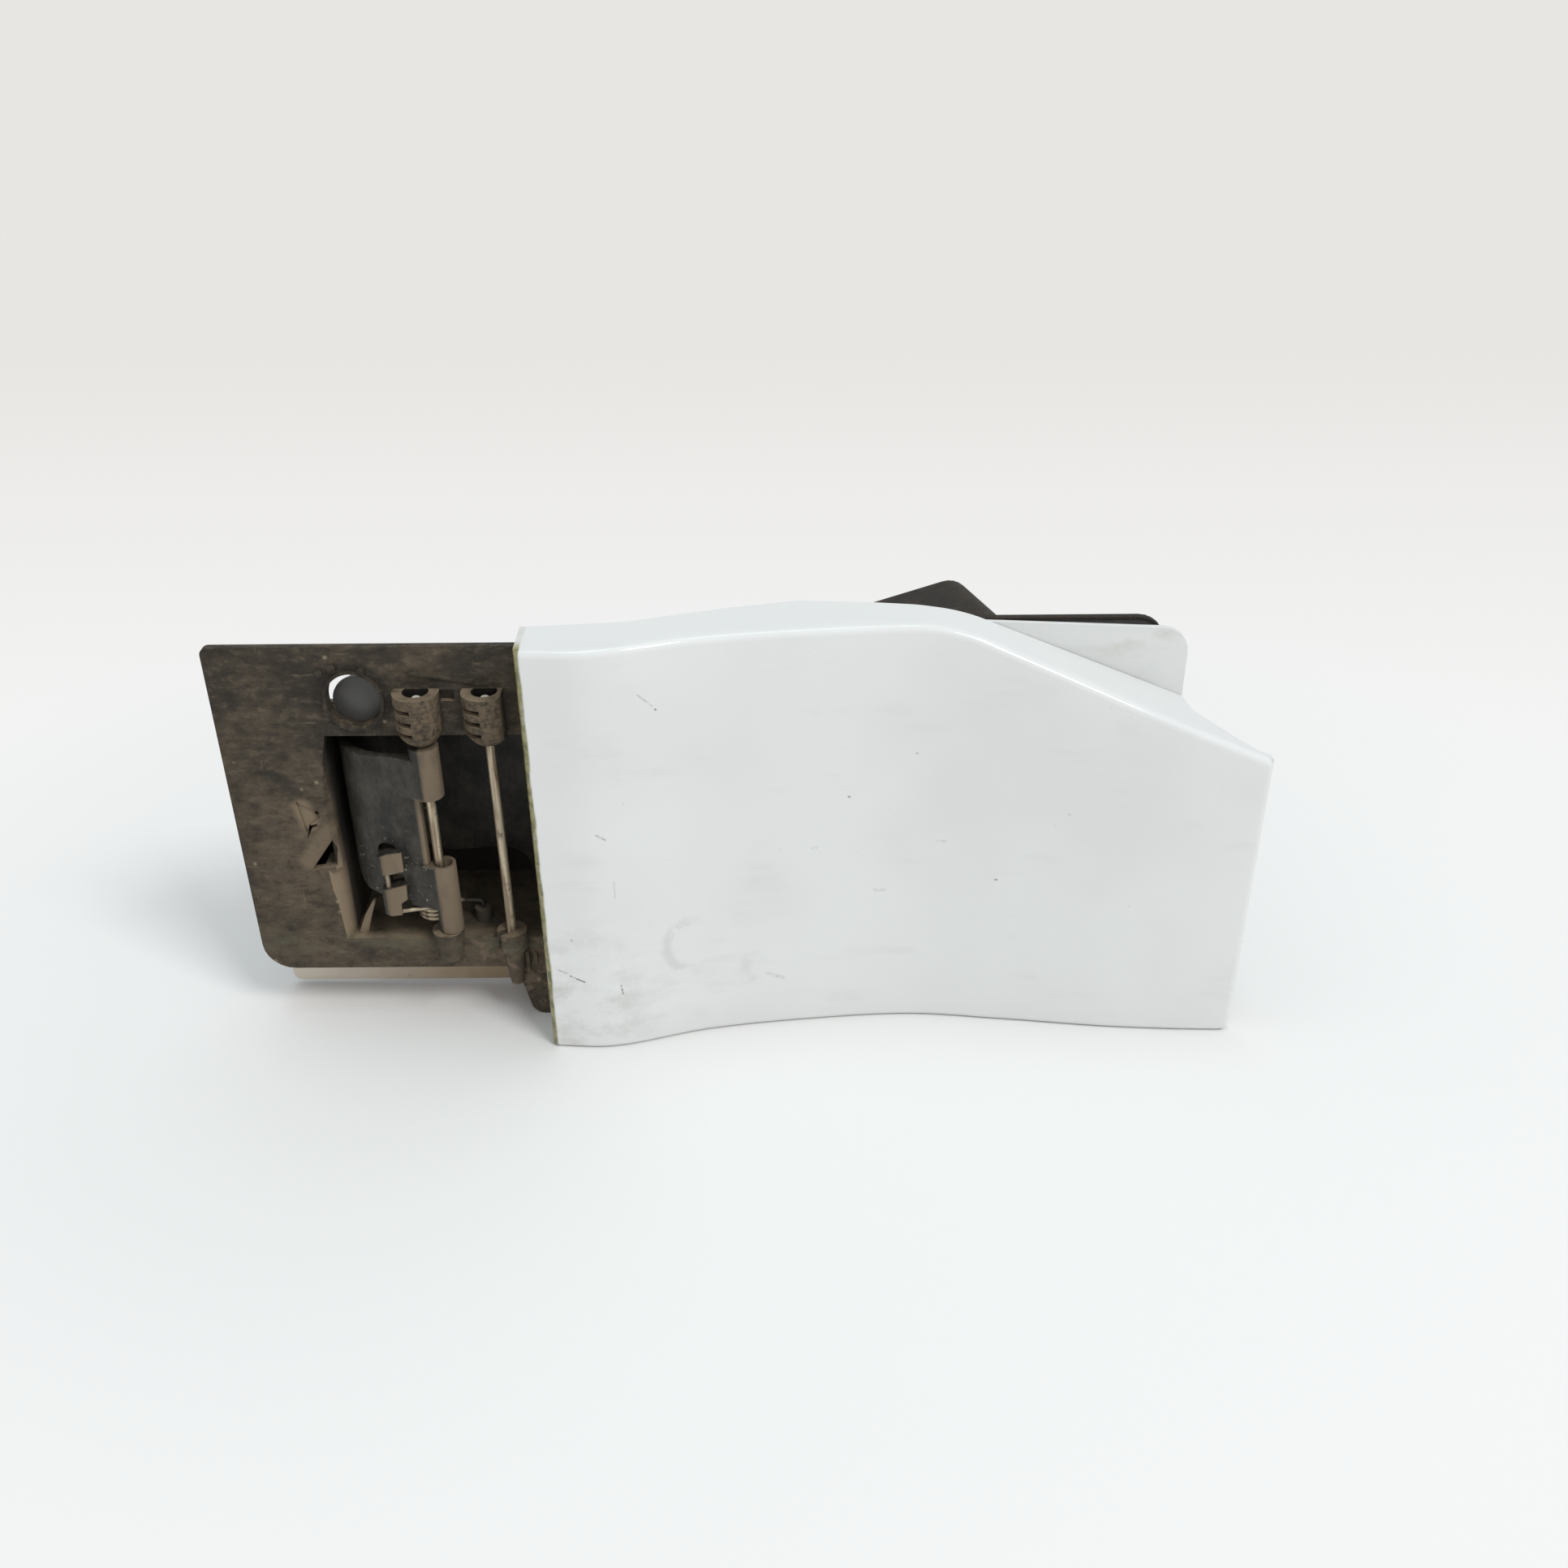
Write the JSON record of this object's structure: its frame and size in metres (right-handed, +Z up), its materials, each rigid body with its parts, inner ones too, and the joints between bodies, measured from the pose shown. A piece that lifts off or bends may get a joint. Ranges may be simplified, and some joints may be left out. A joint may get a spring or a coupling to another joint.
{
  "type": "car fuel door with hinge pocket",
  "caption": "Painted fuel door flap on a sprung gooseneck hinge, with its moulded pocket, filler bowl, rubber neck boot and foam rim seal.",
  "frame": {"origin": "centre of the filler neck's hole, in the plane of the pocket's back wall", "axes": "+X to the right seen from outside, +Y into the car along the filler neck, +Z up"},
  "size_m": [0.3311, 0.0862, 0.15],
  "materials": {
    "pocket_plastic": "black moulded plastic under brown road dust",
    "pin_steel": "plain steel, dusty and dull",
    "seal_foam": "black foam",
    "boot_rubber": "black rubber",
    "plug_plastic": "dark grey, smooth",
    "spring_steel": "spring wire, dusty",
    "white_paint": "white gloss paint with light scratches",
    "inner_paint": "white paint, grimy along the flange",
    "arm_plastic": "glass-filled plastic, dusty at the knuckles",
    "screw_steel": "plated steel"
  },
  "bodies": {
    "pocket": {"pocket_housing": "pocket_plastic", "hinge_pin": "pin_steel", "anchor_rod": "pin_steel", "rim_seal": "seal_foam", "neck_boot": "boot_rubber", "access_plug": "plug_plastic", "buffer_upper": "boot_rubber", "buffer_lower": "boot_rubber", "torsion_spring": "spring_steel"},
    "flap": {"outer_skin": "white_paint", "inner_panel": "inner_paint", "hinge_arm": "arm_plastic", "arm_screw_1": "screw_steel", "arm_screw_2": "screw_steel", "arm_screw_3": "screw_steel", "panel_screw_1": "screw_steel", "panel_screw_2": "screw_steel", "panel_screw_3": "screw_steel", "panel_screw_4": "screw_steel"}
  },
  "joints": [
    {"name": "flap_hinge", "type": "hinge", "parent": "pocket", "child": "flap", "pos_m": [-0.1437, -0.056, 0], "axis": [0, 0, -1], "range_deg": [0, 95], "stiffness_Nm_per_rad": 0.02, "springref_deg": -34.38, "deforming": ["torsion_spring"]}
  ]
}
